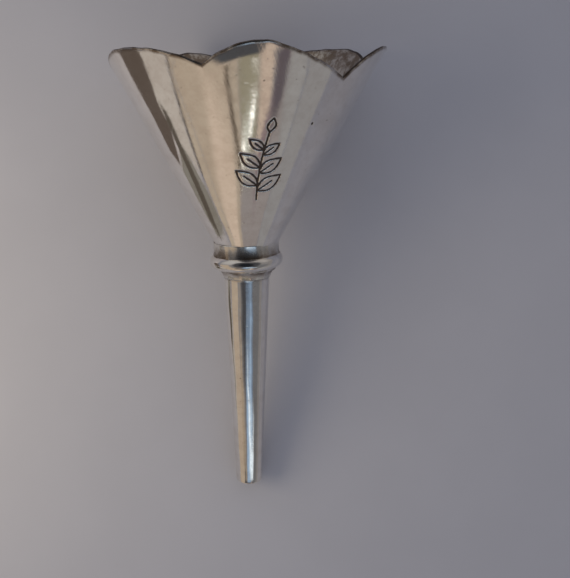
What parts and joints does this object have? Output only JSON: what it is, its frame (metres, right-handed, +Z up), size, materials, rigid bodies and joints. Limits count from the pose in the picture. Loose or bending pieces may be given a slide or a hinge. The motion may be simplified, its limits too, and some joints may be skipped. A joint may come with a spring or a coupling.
{
  "type": "scent bottle funnel",
  "caption": "Small silver filling funnel with a petal-cut conical bowl, a knop ring and a slender tapered stem, lying on its side.",
  "frame": {"origin": "on the surface it lies on, under the middle of the funnel", "axes": "+Z up from the surface, +Y along the funnel from the stem's tip toward the bowl's mouth, +X to the right seen from above with the mouth away"},
  "size_m": [0.0242, 0.043, 0.0234],
  "materials": {
    "silver_bowl": "hand-polished sterling silver sheet, softly worn, with light tarnish",
    "silver_knop": "polished sterling silver wire with dark tarnish in its corners",
    "silver_stem": "burnished sterling silver tube, softly worn",
    "silver_solder": "slightly dull silver solder"
  },
  "bodies": {
    "root": {"bowl": "silver_bowl", "knop_ring": "silver_knop", "stem": "silver_stem", "upper_solder": "silver_solder", "lower_solder": "silver_solder"}
  },
  "joints": []
}
